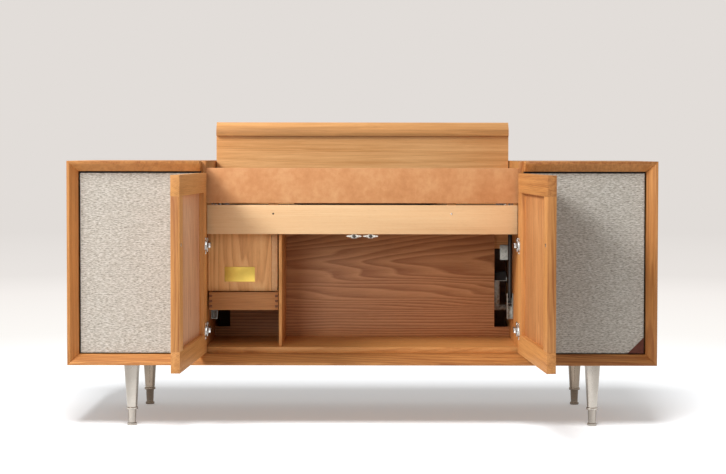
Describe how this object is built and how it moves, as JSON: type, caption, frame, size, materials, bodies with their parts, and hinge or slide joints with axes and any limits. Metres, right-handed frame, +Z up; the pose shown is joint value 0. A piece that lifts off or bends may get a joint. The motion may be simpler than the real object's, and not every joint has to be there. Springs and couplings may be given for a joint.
{
  "type": "record cabinet",
  "caption": "Long low record cabinet on tapered metal legs with loudspeakers behind cloth, a record bay behind two doors and a lift-up lid over a turntable well.",
  "frame": {"origin": "on the floor, under the middle of the bounding box with the doors open", "axes": "+X to the right along the cabinet, -Y to the front, +Z up"},
  "size_m": [1.83, 1.009, 0.9555],
  "materials": {
    "wood": "satin oiled hardwood with visible grain",
    "pale_wood": "satin oiled pale wood",
    "pine": "sawn softwood",
    "back_board": "dark stained board",
    "black_board": "black lacquered board",
    "leather": "smooth tan leather",
    "cloth": "woven loudspeaker cloth",
    "leg_metal": "spun satin aluminium",
    "platter_metal": "turned aluminium",
    "steel": "nickel plated steel",
    "galvanised": "galvanised sheet",
    "black_metal": "black painted metal",
    "brass": "brushed brass",
    "rubber": "matt rubber",
    "white_plastic": "moulded plastic",
    "grey_plastic": "moulded plastic"
  },
  "bodies": {
    "cabinet": {"amplifier": "black_metal", "apron": "pale_wood", "apron_screws": "steel", "bay_back": "wood", "bay_divider": "wood", "bay_floor": "wood", "brass_plate": "brass", "case_back": "back_board", "case_bottom": "wood", "case_side_left": "wood", "case_side_right": "wood", "case_top_left": "wood", "case_top_rear": "wood", "case_top_right": "wood", "catch_bodies": "white_plastic", "connector_plate": "black_metal", "electronics_box": "pale_wood", "electronics_cover": "wood", "front_band": "leather", "grille_cloths": "cloth", "grille_frames": "black_board", "hinge_arms": "steel", "isolation_pucks": "rubber", "leather_tab": "leather", "leg_front_left": "leg_metal", "leg_front_right": "leg_metal", "leg_rear_left": "leg_metal", "leg_rear_right": "leg_metal", "lid_pivots": "steel", "lid_stops": "galvanised", "rear_buffers": "rubber", "rear_frame": "galvanised", "speaker_baffles": "black_board", "strut_brackets": "galvanised", "strut_cylinders": "black_metal", "tonearm_base": "platter_metal", "tray_runners": "pine", "turntable_deck": "black_board", "turntable_feet": "rubber", "turntable_plinth": "black_board", "tweeters": "black_metal", "uprights": "wood", "well_supports": "pine", "woofers": "black_metal"},
    "door_left": {"door_frame_left": "wood", "door_panel_left": "wood", "door_hardware_left": "steel"},
    "door_right": {"door_frame_right": "wood", "door_panel_right": "wood", "door_hardware_right": "steel"},
    "lid": {"lid": "wood", "lid_arms": "steel"},
    "strut_rod_left": {"strut_rod_left": "steel"},
    "strut_rod_right": {"strut_rod_right": "steel"},
    "tray": {"record_tray": "pale_wood"},
    "platter": {"platter": "platter_metal"},
    "tonearm": {"tonearm": "platter_metal"},
    "speed_knob": {"speed_knob": "leg_metal"},
    "catch_plunger_left": {"catch_plunger_left": "grey_plastic"},
    "catch_plunger_right": {"catch_plunger_right": "grey_plastic"}
  },
  "joints": [
    {"name": "door_left_hinge", "type": "hinge", "parent": "cabinet", "child": "door_left", "pos_m": [-0.50025, -0.00575, 0.5105], "axis": [0, 0, -1], "range_deg": [-93.3, 1.7]},
    {"name": "door_right_hinge", "type": "hinge", "parent": "cabinet", "child": "door_right", "pos_m": [0.50025, -0.00575, 0.5105], "axis": [0, 0, 1], "range_deg": [-94.1, 0.9]},
    {"name": "lid_pivot", "type": "hinge", "parent": "cabinet", "child": "lid", "pos_m": [0, 0.22675, 0.68125], "axis": [1, 0, 0], "range_deg": [0, 90]},
    {"name": "strut_left_slide", "type": "slide", "parent": "cabinet", "child": "strut_rod_left", "axis": [0, 0, 1], "range_m": [-0.043, 0.0005]},
    {"name": "strut_right_slide", "type": "slide", "parent": "cabinet", "child": "strut_rod_right", "axis": [0, 0, 1], "range_m": [-0.043, 0.0005]},
    {"name": "tray_slide", "type": "slide", "parent": "cabinet", "child": "tray", "axis": [0, -1, 0], "range_m": [0, 0.1]},
    {"name": "platter_spin", "type": "hinge", "parent": "cabinet", "child": "platter", "pos_m": [-0.04, 0.1785, 0.732], "axis": [0, 0, 1], "continuous": true},
    {"name": "tonearm_swing", "type": "hinge", "parent": "cabinet", "child": "tonearm", "pos_m": [0.148, 0.2525, 0.757], "axis": [0, 0, -1], "range_deg": [0, 52]},
    {"name": "speed_knob_turn", "type": "hinge", "parent": "cabinet", "child": "speed_knob", "pos_m": [-0.18, 0.0575, 0.724], "axis": [0, 0, -1], "range_deg": [0, 90]},
    {"name": "catch_left_press", "type": "slide", "parent": "cabinet", "child": "catch_plunger_left", "axis": [0, 1, 0], "range_m": [0, 0.005], "stiffness_N_per_m": 150},
    {"name": "catch_right_press", "type": "slide", "parent": "cabinet", "child": "catch_plunger_right", "axis": [0, 1, 0], "range_m": [0, 0.005], "stiffness_N_per_m": 150}
  ],
  "couplings": [
    {"joint": "strut_left_slide", "follows": "lid_pivot", "m_per_rad": -0.027009},
    {"joint": "strut_right_slide", "follows": "lid_pivot", "m_per_rad": -0.027009}
  ]
}
